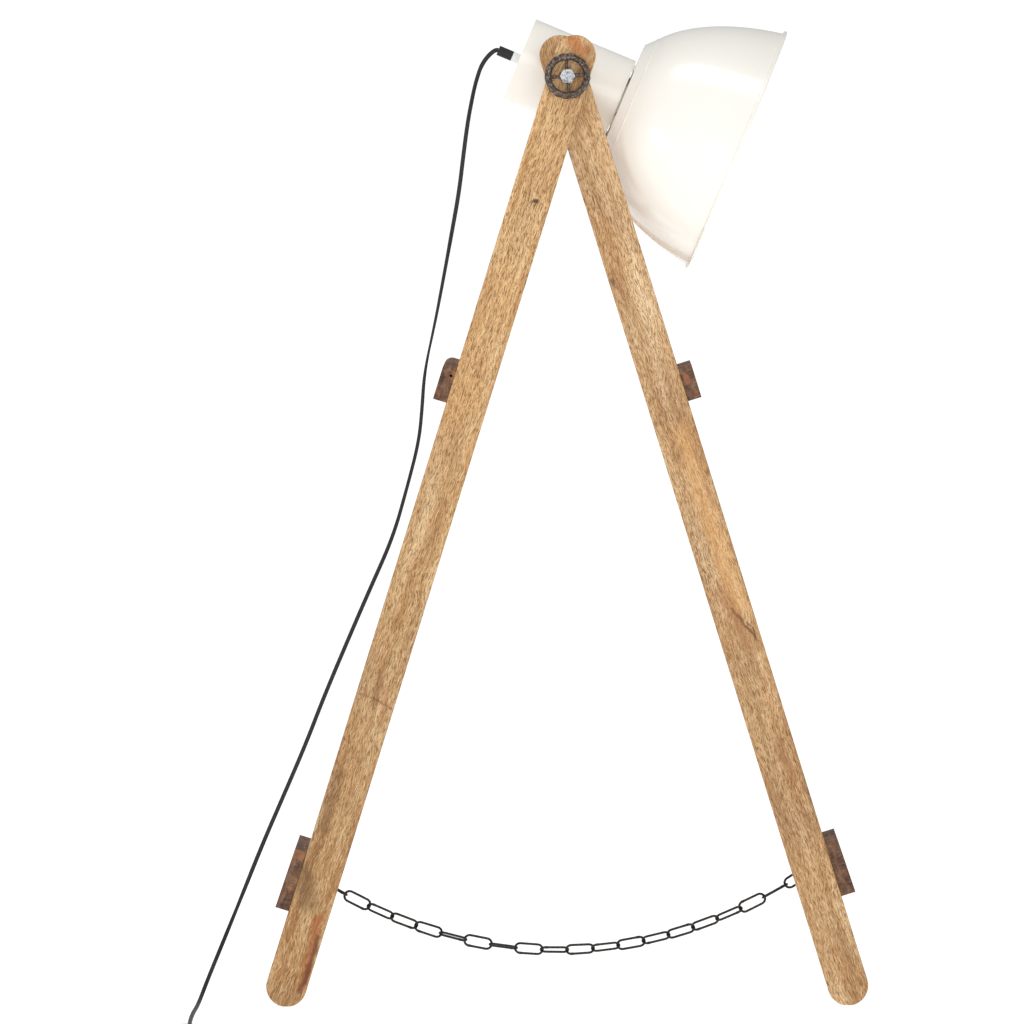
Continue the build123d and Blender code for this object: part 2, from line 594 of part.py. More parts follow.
def lamp():
    """Every piece of the lamp, by name."""
    outer_middle = OUTER_Y + LEG_THICK / 2
    inner_middle = INNER_Y + LEG_THICK / 2
    outer_screws = rung_screws(OUTER, OUTER_UPPER_RUNG, outer_middle)
    outer_screws += rung_screws(OUTER, OUTER_LOWER_RUNG, outer_middle)
    inner_screws = rung_screws(INNER, INNER_UPPER_RUNG, inner_middle)
    inner_screws += rung_screws(INNER, INNER_LOWER_RUNG, inner_middle)
    outer_eye = chain_eye(OUTER, OUTER_LOWER_RUNG, 90)
    inner_eye = chain_eye(INNER, INNER_LOWER_RUNG, 0)
    outer_span = OUTER_Y + LEG_THICK
    inner_span = INNER_Y + LEG_THICK
    knot_out, knot_rise = KNOT_HOLE_PLACE
    knot_hole = rod_y(KNOT_HOLE_R, -FAR, KNOT_HOLE_DEPTH - outer_span)
    knot_place = Pos(OUTER * (EDGE + knot_out), 0, knot_rise - OUTER_UPPER_RUNG[0])
    knot_hole = on_leg(OUTER, knot_place * knot_hole)

    def screwed(board, screws):
        for screw in screws:
            board = board - screw
        return board

    upper_rung = on_leg(OUTER, rung_board(OUTER, OUTER_UPPER_RUNG, outer_span, WANE)) - knot_hole
    inner_rung = on_leg(INNER, rung_board(INNER, INNER_UPPER_RUNG, inner_span))
    pieces = {
        "outer_leg_near": screwed(leg(OUTER, NEAR, OUTER_Y), outer_screws),
        "outer_leg_far": screwed(leg(OUTER, AWAY, OUTER_Y), outer_screws),
        "outer_upper_rung": screwed(upper_rung, outer_screws),
        "outer_lower_rung": screwed(
            on_leg(OUTER, rung_board(OUTER, OUTER_LOWER_RUNG, outer_span)), outer_screws + [outer_eye]
        ),
        "outer_rung_screws": outer_screws,
        "outer_chain_eye": outer_eye,
        "leg_washers": washers(OUTER_Y - WASHER, WASHER_R),
        "handwheel_washers": washers(HUB_Y - WASHER, HUB_WASHER_R),
        "inner_leg_near": screwed(leg(INNER, NEAR, INNER_Y), inner_screws),
        "inner_leg_far": screwed(leg(INNER, AWAY, INNER_Y), inner_screws),
        "inner_upper_rung": screwed(inner_rung, inner_screws),
        "inner_lower_rung": screwed(
            on_leg(INNER, rung_board(INNER, INNER_LOWER_RUNG, inner_span)), inner_screws + [inner_eye]
        ),
        "inner_rung_screws": inner_screws,
        "inner_chain_eye": inner_eye,
        "head_tube": housing(),
        "head_back_plate": back_plate(),
        "shade": shade(),
        "shade_tabs": shade_tabs(),
        "pivot_spacers": pivot_spacers(),
        "pivot_nuts": pivot_nuts(),
        "cord_gland": gland(),
        "cord_grip": grip(),
        "terminal_block": terminal_block(),
        "clamp_bolt_near": clamp_bolt(NEAR),
        "clamp_bolt_far": clamp_bolt(AWAY),
        "handwheel_near": handwheel(NEAR),
        "handwheel_far": handwheel(AWAY),
    }
    pieces.update(holder_pieces())
    joints = chain_joints(eye_end(OUTER, OUTER_LOWER_RUNG), eye_end(INNER, INNER_LOWER_RUNG))
    for i, roll in enumerate(LINK_ROLLS):
        pieces[f"chain_link_{i + 1:02d}"] = link(joints[i], joints[i + 1], roll)
    pieces.update(foot_switch())
    pieces.update(plug())
    cord_start = GRIP_TIP + GRIP_SOCKET
    straight = [on_axis(Pos(x, 0, 0)).position for x in (cord_start, cord_start - CORD_STRAIGHT)]
    pieces["cord_run"] = cord_tube([tuple(point) for point in straight] + CORD_RUN, "cord_run")
    pieces["cord_link"] = cord_tube(CORD_LINK, "cord_link")
    pieces["cord_coil"] = coil()
    pieces["coil_tie"] = coil_tie(pieces["cord_coil"])
    return pieces


os.makedirs("parts", exist_ok=True)
for name, piece in lamp().items():
    solids = piece if isinstance(piece, list) else [piece]
    solids = [solid for one in solids for solid in one.solids()]
    export_step(Compound(children=solids) if len(solids) > 1 else solids[0], f"parts/{name}.step")
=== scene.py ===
"""Looks of the wooden A-frame floor lamp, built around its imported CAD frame.

Lengths are metres in the frame's own axes, and angles are radians unless a name says otherwise.
"""

import math
import random

import bmesh
import bpy
import numpy as np
from mathutils import Matrix, Vector, noise


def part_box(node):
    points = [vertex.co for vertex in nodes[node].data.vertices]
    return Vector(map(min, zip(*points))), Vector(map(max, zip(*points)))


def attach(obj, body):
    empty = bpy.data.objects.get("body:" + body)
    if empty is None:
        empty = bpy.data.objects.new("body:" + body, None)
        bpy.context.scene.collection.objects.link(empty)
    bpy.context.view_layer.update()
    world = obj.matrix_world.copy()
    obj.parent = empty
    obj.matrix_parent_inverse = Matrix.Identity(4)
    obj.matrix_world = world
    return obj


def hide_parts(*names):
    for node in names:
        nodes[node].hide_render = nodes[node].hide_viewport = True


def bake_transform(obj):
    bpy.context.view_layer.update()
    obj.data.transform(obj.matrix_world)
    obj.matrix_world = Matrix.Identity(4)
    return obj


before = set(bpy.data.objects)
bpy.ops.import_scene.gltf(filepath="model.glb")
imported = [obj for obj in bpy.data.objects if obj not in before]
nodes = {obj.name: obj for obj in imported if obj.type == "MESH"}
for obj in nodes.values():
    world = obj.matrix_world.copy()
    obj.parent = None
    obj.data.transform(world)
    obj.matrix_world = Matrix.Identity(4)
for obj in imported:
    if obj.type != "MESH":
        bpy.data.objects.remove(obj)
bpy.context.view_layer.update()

# The clamp bolts' axis, and the way the legs lean from it
bolt_low, bolt_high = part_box("clamp_bolt_near")
PIVOT = Vector((0, 0, (bolt_low.z + bolt_high.z) / 2))
SPREAD = math.radians(17.235)
OUTER, INNER = -1, 1
NEAR, FAR = -1, 1

# Camera, level with the pivot and looking slightly down
CAMERA_AWAY = 13.0
AIM = Vector((-0.0687, 0, 0.6037))
VIEW_WIDTH = 1.2678
SENSOR = 36.0

# Cord: a flat twin flex, its route within a few millimetres of the CAD source's
CORD_WIDTH = 0.0052
CORD_THICK = 0.0030
CORD_SIDES = 20
ROUTE_STEPS = 8  # between two points of its route
SLEEVE_LENGTH = 0.031  # the outer sleeve that covers the two cores below the grip
SLEEVE_WIDTH = 0.0055
SLEEVE_THICK = 0.0040
ON_FLOOR = 0.0018
SWITCH_X = -0.452
NOSE_Z = 0.0055
GRIP_FACE = (-0.08569, 0, 1.17473)
CORD_ROUTE = [
    GRIP_FACE,
    (-0.0880, 0, 1.1757),
    (-0.0942, 0, 1.1717),
    (-0.1012, 0, 1.1642),
    (-0.1070, 0, 1.1548),
    (-0.1113, 0, 1.1425),
    (-0.1152, 0, 1.1283),
    (-0.1186, 0, 1.1120),
    (-0.1233, 0, 1.087),
    (-0.1285, 0, 1.048),
    (-0.1341, 0, 1.000),
    (-0.1431, 0, 0.950),
    (-0.1531, 0, 0.895),
    (-0.1639, 0, 0.838),
    (-0.1771, 0, 0.778),
    (-0.1801, 0, 0.730),
    (-0.1841, 0, 0.690),
    (-0.1986, 0, 0.634),
    (-0.2161, 0, 0.572),
    (-0.2461, 0, 0.505),
    (-0.2741, 0, 0.440),
    (-0.3011, 0, 0.376),
    (-0.3246, 0, 0.315),
    (-0.3531, -0.002, 0.249),
    (-0.3791, -0.006, 0.189),
    (-0.4046, -0.014, 0.125),
    (-0.427, -0.030, 0.070),
    (-0.4435, -0.060, 0.030),
    (-0.4525, -0.103, 0.006),
    (-0.455, -0.160, ON_FLOOR),
    (-0.4562, -0.220, ON_FLOOR),
    (-0.4564, -0.280, ON_FLOOR),
    (-0.456, -0.338, ON_FLOOR),
    (-0.4546, -0.395, ON_FLOOR),
    (-0.453, -0.450, 0.0028),
    (SWITCH_X, -0.495, NOSE_Z),
    (SWITCH_X, -0.519, NOSE_Z),
    (SWITCH_X, -0.562, NOSE_Z),
    (SWITCH_X, -0.605, NOSE_Z),
    (SWITCH_X, -0.618, NOSE_Z),
    (-0.4455, -0.634, 0.005),
    (-0.431, -0.6465, 0.004),
    (-0.410, -0.652, 0.0033),
    (-0.392, -0.6545, 0.0033),
]
PLUG_NOSE = (-0.362, -0.6552, 0.007)

# Distances from the grip, and how far the cord's flat side has turned about the cord there
TWIST = (
    (0.0, 0.0),
    (0.06, 0.6),
    (0.12, 0.0),
    (0.21, 0.0),
    (0.27, 0.8),
    (0.37, 1.4),
    (0.45, 2.35),
    (0.56, 2.2),
    (0.70, 2.9),
    (1.07, 3.0),
    (1.12, 2.3),
    (1.18, 2.8),
    (1.40, 3.14),
)

# The put-away turns, wound inwards on the floor and outwards again on top
COIL = Vector((-0.375, -0.620, 0))
COIL_WIDE = 0.0352
COIL_NARROW = 0.0246
COIL_LAYERS = (0.0033, 0.0087)
COIL_TURNS = 6
COIL_NARROW_TURNS = 1.2  # of them, those at the narrow radius
COIL_STEPS = 14

# Chain
LINKS = 20
LINK_WIRE = 0.0015
LINK_STEPS = 60
LINK_SIDES = 10
LINK_SKEW = 0.05
WELD_SHARES = (0.25, 0.75)  # of the way round a link, on one long side or the other
WELD_WIDTH = 0.13
WELD_SWELL = 0.22

# Handwheel: its rim, which finger grips have worn, its spokes and its hub
WHEEL_OUT = 0.0284
WHEEL_IN = 0.0199
WHEEL_MIDDLE = (WHEEL_OUT + WHEEL_IN) / 2
WHEEL_TURN = math.radians(-5.0)
RIM_HALF_THICK = 0.0037
RIM_STAND_OFF = 0.0045  # from the hub's inner face to the middle of the rim
RIM_RINGS = 200
RIM_SIDES = 20
RIM_ROUGH = 0.06
RIM_LUMPS = 2.6
RIM_LUMPS_APART = 1.7
RIM_FULL_OUT, RIM_FULL_UP = 0.8, 0.75  # under 1, its section is fuller than an ellipse
GRIPS = 13
GRIPS_UNEVEN = 0.8
GRIP_DEPTH = 0.00085
GRIP_ROUGH = 0.0003
SPOKES = 4
SPOKE_START = 0.005
SPOKE_STATIONS = 15
SPOKE_SIDES = 12
SPOKE_HALF = 0.0019
SPOKE_FLARE_WIDE = 0.0022
SPOKE_FLARE_DEEP = 0.0008
HUB_RADIUS = 0.0079
HUB_CORNER = 0.0022
HUB_SIDES = 64
HUB_LEVELS = ((0.0, 0.93), (0.12, 1.0), (0.86, 1.0), (1.0, 0.9))  # shares of height, sizes
HUB_GAP = 0.0002
PITS = ((420, 0.00016), (1100, 0.00007))  # lumps per metre, depths

# Light: what the camera sees behind the lamp, what the lamp is lit with, and the floor's own share
SKY_SEEN = 1.05
SKY_LIT = 0.50
FLOOR_HALF = 40.0
FLOOR_GREY = 0.5
FLOOR_GLOW = 0.85
HEAD_PLACE = (0.15, 0, 1.1)
SOFTBOXES = (  # name, place, what it looks at, width, height, watts
    ("top softbox", (-0.4, -0.9, 3.9), HEAD_PLACE, 2.2, 0.9, 26),
    ("left softbox", (-2.9, -1.9, 1.25), HEAD_PLACE, 0.7, 0.9, 7),
    ("front left softbox", (-2.3, -4.8, 1.0), (0, 0, 0.7), 0.9, 0.9, 15),
    ("front softbox", (1.2, -7.0, 2.2), (0, 0, 0.6), 4.0, 3.0, 84),
)


# ---- materials ----


def srgb(red, green, blue):
    """A colour given as it looks on a screen, 0 to 255, as linear light."""
    values = []
    for level in (red, green, blue):
        share = level / 255
        values.append(share / 12.92 if share <= 0.04045 else ((share + 0.055) / 1.055) ** 2.4)
    return (*values, 1.0)


# A mark on a leg: how far its streak sways, and in widths how ragged it is and where it is faded and full
MARK_SWAY_ACROSS = 0.004
MARK_SWAY_UP = 0.006
MARK_FRINGE = 0.8
MARK_FADED = 1.6
MARK_FULL = 0.6

# Mango wood: the shift for each seed, the grain's sway, and the heights on a leg where its painted shade
# starts and is deepest
MANGO_SHIFT = (0.37, 0.53, 0.71)
GRAIN_SWAY = 0.007
SHADE_FROM = -0.35
SHADE_DEEPEST_FROM = -0.85
CLOUD_BROWN = srgb(150, 104, 60)
HONEY = srgb(206, 142, 74)
PORE_BROWN = srgb(126, 82, 44)
FINE_BROWN = srgb(146, 100, 56)
SHEEN = srgb(250, 216, 164)

# Cast iron, from the pits to the lumps, and where it is rubbed
CAST_TONES = (srgb(58, 48, 42), srgb(96, 84, 76), srgb(128, 116, 108))
RUBBED_BRIGHT = srgb(196, 188, 184)

# Stained wood: the shift for each seed, the log's heart across and up from the bolts, and its rings
STAINED_SHIFT = (0.41, 0.29, 0.83)
HEART_ACROSS = 0.062
HEART_UP = -0.37
RINGS_FINE = 2300.0
RINGS_BEND = 0.012
RING_BROWN = srgb(70, 45, 30)
STAINED_PORE = srgb(58, 38, 26)
WARM_BROWN = srgb(190, 122, 78)
SAW_DUST = srgb(196, 158, 128)


class Finish:
    """A material under construction: a principled shader and the nodes that feed it."""

    def __init__(self, name, **settings):
        self.material = bpy.data.materials.new(name)
        self.material.use_nodes = True
        self.tree = self.material.node_tree
        self.shader = self.tree.nodes["Principled BSDF"]
        for key, value in settings.items():
            label = key.replace("_", " ").title().replace("Ior", "IOR")
            self.shader.inputs[label].default_value = value
        self.place = self.node("TexCoord").outputs["Object"]

    def node(self, kind, **settings):
        """Adds a node with these settings."""
        made = self.tree.nodes.new("ShaderNode" + kind)
        for key, value in settings.items():
            setattr(made, key, value)
        return made

    def feed(self, socket, value):
        """Links a socket to another node's output, or gives it a constant."""
        if isinstance(value, bpy.types.NodeSocket):
            self.tree.links.new(value, socket)
        else:
            socket.default_value = value

    def math(self, operation, *values):
        """Arithmetic on numbers."""
        made = self.node("Math", operation=operation)
        for socket, value in zip(made.inputs, values):
            self.feed(socket, value)
        return made.outputs[0]

    def vector(self, operation, *values):
        """Arithmetic on places and directions."""
        made = self.node("VectorMath", operation=operation)
        for socket, value in zip(made.inputs, values):
            self.feed(socket, value)
        return made.outputs["Value" if operation in ("DOT_PRODUCT", "LENGTH") else "Vector"]

    def noise(self, place, scales, detail=2.0, distortion=0.0):
        """Noise whose lumps are as fine along each axis as the scales say, in lumps per metre."""
        made = self.node("TexNoise")
        self.feed(made.inputs["Vector"], self.vector("MULTIPLY", place, scales))
        made.inputs["Scale"].default_value = 1.0
        made.inputs["Detail"].default_value = detail
        made.inputs["Distortion"].default_value = distortion
        return made.outputs[0]

    def step(self, value, low, high):
        """0 below low and 1 above high, smooth between, or the other way round."""
        made = self.node("MapRange", interpolation_type="SMOOTHSTEP")
        self.feed(made.inputs["Value"], value)
        made.inputs["From Min"].default_value = low
        made.inputs["From Max"].default_value = high
        return made.outputs[0]

    def scale(self, value, low, high):
        """A value of 0 to 1 spread over low to high."""
        made = self.node("MapRange")
        self.feed(made.inputs["Value"], value)
        made.inputs["To Min"].default_value = low
        made.inputs["To Max"].default_value = high
        return made.outputs[0]

    def mix(self, share, first, second, blend="MIX"):
        """The first colour where the share is 0, and the second laid over it where it is 1."""
        made = self.node("Mix", data_type="RGBA", blend_type=blend)
        self.feed(made.inputs[0], share)
        self.feed(made.inputs[6], first)
        self.feed(made.inputs[7], second)
        return made.outputs[2]

    def tint(self, base, colour, share, strength, blend="MIX"):
        """A base colour with another laid over it, by this strength where the share is 1."""
        return self.mix(self.math("MULTIPLY", share, strength), base, colour, blend)

    def ramp(self, value, *stops):
        """Colours along a value, each stop a place and a colour."""
        made = self.node("ValToRGB")
        self.feed(made.inputs[0], value)
        elements = made.color_ramp.elements
        while len(elements) < len(stops):
            elements.new(0.5)
        for element, (place, colour) in zip(elements, stops):
            element.position = place
            element.color = colour
        return made.outputs[0]

    def colour(self, value):
        """Sets the surface's colour."""
        self.feed(self.shader.inputs["Base Color"], value)

    def roughness(self, value):
        """Sets how matt the surface is."""
        self.feed(self.shader.inputs["Roughness"], value)

    def bump(self, height, depth, strength):
        """Shades the surface as if raised by up to depth metres where height is 1."""
        made = self.node("Bump")
        self.feed(made.inputs["Height"], height)
        made.inputs["Strength"].default_value = strength
        made.inputs["Distance"].default_value = depth
        self.tree.links.new(made.outputs[0], self.shader.inputs["Normal"])

    def leaning(self, side):
        """Places measured from the pivot along a pair of legs: across, through and up a leg."""
        made = self.node("VectorRotate", rotation_type="AXIS_ANGLE")
        self.feed(made.inputs["Vector"], self.vector("SUBTRACT", self.place, tuple(PIVOT)))
        made.inputs["Axis"].default_value = (0, 1, 0)
        made.inputs["Angle"].default_value = side * SPREAD
        return made.outputs[0]

    def mark(self, place, start, end, width):
        """1 on a ragged streak from start to end, places across and up a leg, and 0 away from it."""
        first = Vector((start[0], 0, start[1]))
        run = Vector((end[0], 0, end[1])) - first
        sway = self.node("CombineXYZ")
        across = self.noise(place, (95, 95, 60))
        up = self.noise(place, (70, 130, 95))
        self.feed(sway.inputs[0], self.scale(across, -MARK_SWAY_ACROSS, MARK_SWAY_ACROSS))
        self.feed(sway.inputs[2], self.scale(up, -MARK_SWAY_UP, MARK_SWAY_UP))
        flat = self.vector("MULTIPLY", self.vector("ADD", place, sway.outputs[0]), (1, 0, 1))
        out = self.vector("SUBTRACT", flat, tuple(first))
        along = self.math("DIVIDE", self.vector("DOT_PRODUCT", out, tuple(run)), run.length_squared)
        inside = self.math("MINIMUM", self.math("MAXIMUM", along, 0.0), 1.0)
        nearest = self.node("VectorMath", operation="SCALE")
        nearest.inputs[0].default_value = tuple(run)
        self.feed(nearest.inputs["Scale"], inside)
        away = self.vector("LENGTH", self.vector("SUBTRACT", out, nearest.outputs[0]))
        fringe = self.noise(place, (260, 260, 90), detail=3.0)
        ragged = self.math("ADD", away, self.math("MULTIPLY", fringe, MARK_FRINGE * width))
        return self.step(ragged, width * MARK_FADED, width * MARK_FULL)


def mango_wood(name, side, seed, tones, painted_shade_tone, marks=()):
    """Light oiled mango wood: streaks, short dark pores, clouds, painted shade darkening the lower half,
    and a few marks.
    """
    finish = Finish(name, roughness=0.5, specular_ior_level=0.35)
    place = finish.leaning(side)
    seeded = finish.vector("ADD", place, tuple(seed * shift for shift in MANGO_SHIFT))
    sway = finish.noise(seeded, (9, 9, 22))
    offset = finish.node("CombineXYZ")
    finish.feed(offset.inputs[0], finish.scale(sway, -GRAIN_SWAY, GRAIN_SWAY))
    grain = finish.vector("ADD", seeded, offset.outputs[0])

    streaks = finish.noise(grain, (85, 85, 4.5), detail=5.0)
    dark, middle, light = tones
    wood = finish.ramp(streaks, (0.26, dark), (0.5, middle), (0.72, light))
    clouds = finish.step(finish.noise(seeded, (22, 22, 7), detail=3.0), 0.35, 0.65)
    wood = finish.tint(wood, CLOUD_BROWN, clouds, strength=0.32, blend="MULTIPLY")
    hue = finish.step(finish.noise(seeded, (35, 35, 12)), 0.42, 0.62)
    wood = finish.tint(wood, HONEY, hue, strength=0.22)
    heights = finish.node("SeparateXYZ")
    finish.feed(heights.inputs[0], place)
    # Painted shade: the leg's colour is multiplied darker towards the floor
    lower = finish.step(heights.outputs[2], SHADE_FROM, SHADE_DEEPEST_FROM)
    wood = finish.mix(lower, wood, painted_shade_tone, "MULTIPLY")

    pore = finish.step(finish.noise(grain, (760, 760, 105), distortion=0.7), 0.53, 0.60)
    where = finish.scale(finish.noise(seeded, (40, 40, 12)), 0.25, 1.2)
    wood = finish.tint(wood, PORE_BROWN, pore, strength=where)
    fine = finish.step(finish.noise(grain, (1300, 1300, 190), detail=1.0, distortion=0.4), 0.52, 0.64)
    wood = finish.tint(wood, FINE_BROWN, fine, strength=0.62)
    shine = finish.step(finish.noise(grain, (900, 900, 80), distortion=0.4), 0.52, 0.72)
    wood = finish.tint(wood, SHEEN, shine, strength=0.5)

    for start, end, width, colour, strength in marks:
        wood = finish.tint(wood, colour, finish.mark(place, start, end, width), strength)
    finish.colour(wood)
    finish.roughness(finish.scale(pore, 0.44, 0.68))
    pits = finish.math("ADD", pore, fine)
    relief = finish.math("SUBTRACT", finish.math("MULTIPLY", streaks, 0.6), pits)
    finish.bump(relief, depth=0.0003, strength=0.6)
    return finish.material


def stained_wood(name, side, seed, tones):
    """Dark stained boards: growth rings on the sawn ends, lines along the faces, pores and warm patches."""
    finish = Finish(name, roughness=0.62, specular_ior_level=0.3)
    place = finish.leaning(side)
    seeded = finish.vector("ADD", place, tuple(seed * shift for shift in STAINED_SHIFT))
    out = finish.vector("SUBTRACT", place, (side * HEART_ACROSS, 0, HEART_UP))
    from_heart = finish.vector("LENGTH", finish.vector("MULTIPLY", out, (1, 0, 1)))
    bend = finish.math("MULTIPLY", finish.noise(seeded, (45, 6, 45)), RINGS_BEND)
    rings = finish.math("SINE", finish.math("MULTIPLY", finish.math("ADD", from_heart, bend), RINGS_FINE))
    figure = finish.noise(seeded, (130, 9, 55), detail=4.0, distortion=0.6)
    dark, middle, light = tones
    wood = finish.ramp(figure, (0.33, dark), (0.5, middle), (0.66, light))
    wood = finish.mix(finish.scale(rings, 0.0, 0.13), wood, RING_BROWN)
    pore = finish.step(finish.noise(seeded, (1500, 60, 1500), detail=1.0), 0.56, 0.68)
    wood = finish.tint(wood, STAINED_PORE, pore, strength=0.45)
    warm = finish.step(finish.noise(seeded, (70, 30, 38)), 0.52, 0.66)
    wood = finish.tint(wood, WARM_BROWN, warm, strength=0.4)
    saw = finish.noise(seeded, (90, 90, 900))
    wood = finish.tint(wood, SAW_DUST, finish.step(saw, 0.5, 0.7), strength=0.22)
    finish.colour(wood)
    finish.roughness(finish.scale(pore, 0.55, 0.78))
    relief = finish.math("SUBTRACT", finish.math("MULTIPLY", saw, 0.4), pore)
    finish.bump(relief, depth=0.0002, strength=0.6)
    return finish.material


def enamel():
    """Warm white stove enamel: glossy, with a faint orange-peel ripple and slightly uneven tone."""
    finish = Finish(
        "white enamel", roughness=0.32, specular_ior_level=0.5, coat_weight=0.55, coat_roughness=0.09
    )
    tone = finish.noise(finish.place, (9, 9, 9))
    finish.colour(finish.mix(tone, srgb(246, 242, 233), srgb(251, 248, 241)))
    finish.roughness(finish.scale(finish.noise(finish.place, (60, 60, 60)), 0.26, 0.38))
    finish.bump(finish.noise(finish.place, (260, 260, 260), detail=1.0), depth=0.00004, strength=0.35)
    return finish.material


def cast_iron():
    """Rough blackened cast iron, rubbed bright in spots."""
    finish = Finish("cast iron", metallic=0.75, roughness=0.45)
    lumps = finish.noise(finish.place, (330, 330, 330), detail=4.0)
    grit = finish.noise(finish.place, (1500, 1500, 1500), detail=3.0)
    dark, middle, light = CAST_TONES
    metal = finish.ramp(lumps, (0.35, dark), (0.55, middle), (0.7, light))
    rubbed = finish.step(finish.noise(finish.place, (480, 480, 480), detail=3.0), 0.6, 0.68)
    finish.colour(finish.tint(metal, RUBBED_BRIGHT, rubbed, strength=0.8))
    finish.roughness(finish.scale(grit, 0.3, 0.62))
    relief = finish.math("ADD", lumps, finish.math("MULTIPLY", grit, 0.4))
    finish.bump(relief, depth=0.0009, strength=0.7)
    return finish.material


def zinc():
    """Bright zinc plating with small scratches and a passivated bloom."""
    finish = Finish("zinc plate", metallic=1.0, roughness=0.26)
    bloom = finish.noise(finish.place, (420, 420, 420), detail=3.0)
    finish.colour(finish.ramp(bloom, (0.35, srgb(104, 106, 110)), (0.62, srgb(166, 169, 173))))
    scratch = finish.noise(finish.place, (2600, 2600, 300))
    finish.roughness(finish.scale(scratch, 0.16, 0.42))
    finish.bump(scratch, depth=0.00003, strength=0.3)
    return finish.material


def dark_iron():
    """Black lacquered iron wire with a dull brown cast."""
    finish = Finish("chain iron", metallic=0.55, roughness=0.4)
    patches = finish.noise(finish.place, (500, 500, 500), detail=3.0)
    finish.colour(finish.ramp(patches, (0.4, srgb(24, 22, 21)), (0.68, srgb(66, 60, 56))))
    finish.roughness(finish.scale(patches, 0.28, 0.58))
    finish.bump(finish.noise(finish.place, (1800, 1800, 1800)), depth=0.00008, strength=0.5)
    return finish.material


def moulded(name, dark, light, roughness, fineness=900):
    """A moulded or extruded material with a fine matt texture, its pits in lumps per metre."""
    finish = Finish(name, roughness=roughness, specular_ior_level=0.45)
    coarse = fineness / 6
    tone = finish.noise(finish.place, (coarse, coarse, coarse))
    finish.colour(finish.mix(tone, dark, light))
    pits = finish.noise(finish.place, (fineness, fineness, fineness))
    finish.roughness(finish.scale(pits, roughness - 0.08, roughness + 0.1))
    finish.bump(pits, depth=0.00005, strength=0.5)
    return finish.material


def brass():
    """Brass with a little tarnish."""
    finish = Finish("brass", metallic=1.0, roughness=0.3)
    tarnish = finish.noise(finish.place, (300, 300, 300), detail=3.0)
    finish.colour(finish.ramp(tarnish, (0.4, srgb(176, 128, 62)), (0.65, srgb(226, 190, 112))))
    finish.roughness(finish.scale(tarnish, 0.2, 0.42))
    return finish.material


OUTER_TONES = (srgb(184, 138, 84), srgb(226, 185, 131), srgb(250, 220, 172))
INNER_TONES = (srgb(176, 135, 90), srgb(217, 179, 131), srgb(246, 216, 174))
# Painted shade for the lower legs, deeper on the outer pair than on the inner pair
OUTER_PAINTED_SHADE = srgb(224, 220, 216)
INNER_PAINTED_SHADE = srgb(244, 242, 238)
RUNG_TONES = (srgb(70, 47, 33), srgb(99, 69, 50), srgb(130, 95, 71))
SCORCH = srgb(92, 58, 34)

# Marks on the near legs: start and end across and up the leg from the bolts, width, colour, strength
OUTER_NEAR_MARKS = (
    ((0.0070, -0.1590), (0.0090, -0.1590), 0.0034, srgb(78, 52, 32), 0.95),
    ((-0.0060, 0.0430), (0.0070, 0.0330), 0.0100, srgb(186, 108, 46), 0.70),
    ((0.0100, 0.0420), (0.0160, 0.0330), 0.0030, srgb(160, 92, 40), 0.45),
    ((-0.0230, -0.7990), (0.0000, -0.8010), 0.0018, srgb(134, 84, 50), 0.55),
    ((0.0000, -0.8010), (0.0230, -0.8060), 0.0022, srgb(126, 78, 48), 0.65),
    ((-0.0010, -0.7750), (0.0010, -0.8080), 0.0050, srgb(138, 92, 58), 0.45),
    ((0.0120, -0.7850), (0.0160, -0.8300), 0.0060, srgb(170, 112, 66), 0.45),
    ((-0.0190, -1.0300), (-0.0030, -1.0640), 0.0150, srgb(112, 80, 46), 0.60),
    ((-0.0150, -0.9000), (-0.0110, -0.9700), 0.0100, srgb(120, 84, 50), 0.45),
    ((0.0060, -0.9900), (0.0020, -1.0300), 0.0050, srgb(150, 104, 58), 0.45),
    ((0.0150, -1.0800), (0.0205, -1.1620), 0.0080, srgb(164, 90, 42), 0.62),
    ((0.0205, -1.1000), (0.0215, -1.1600), 0.0040, srgb(98, 56, 32), 0.70),
    ((0.0190, -1.1400), (0.0200, -1.1700), 0.0045, srgb(112, 62, 36), 0.70),
    ((-0.0170, -0.1100), (-0.0150, -0.1750), 0.0040, srgb(168, 116, 66), 0.55),
)
INNER_NEAR_MARKS = (
    ((0.0040, -0.4600), (0.0090, -0.6850), 0.0150, srgb(236, 180, 114), 0.35),
    ((-0.0230, -0.2560), (-0.0220, -0.2620), 0.0060, SCORCH, 0.75),
    ((-0.0180, -0.2400), (-0.0130, -0.3000), 0.0050, srgb(150, 100, 60), 0.45),
    ((-0.0020, -0.6840), (0.0050, -0.7010), 0.0020, SCORCH, 0.85),
    ((0.0050, -0.7010), (0.0155, -0.7260), 0.0020, SCORCH, 0.90),
    ((0.0165, -0.7140), (0.0150, -0.7300), 0.0022, SCORCH, 0.80),
    ((0.0120, -0.7060), (0.0135, -0.7120), 0.0015, SCORCH, 0.70),
    ((-0.0060, -0.6600), (0.0100, -0.7400), 0.0110, srgb(168, 112, 66), 0.50),
    ((-0.0100, -0.4100), (-0.0060, -0.5000), 0.0050, srgb(150, 100, 56), 0.40),
    ((0.0120, -0.4300), (0.0150, -0.5600), 0.0050, srgb(160, 106, 60), 0.40),
    ((0.0020, -0.8600), (0.0100, -0.9100), 0.0080, srgb(168, 114, 70), 0.40),
)

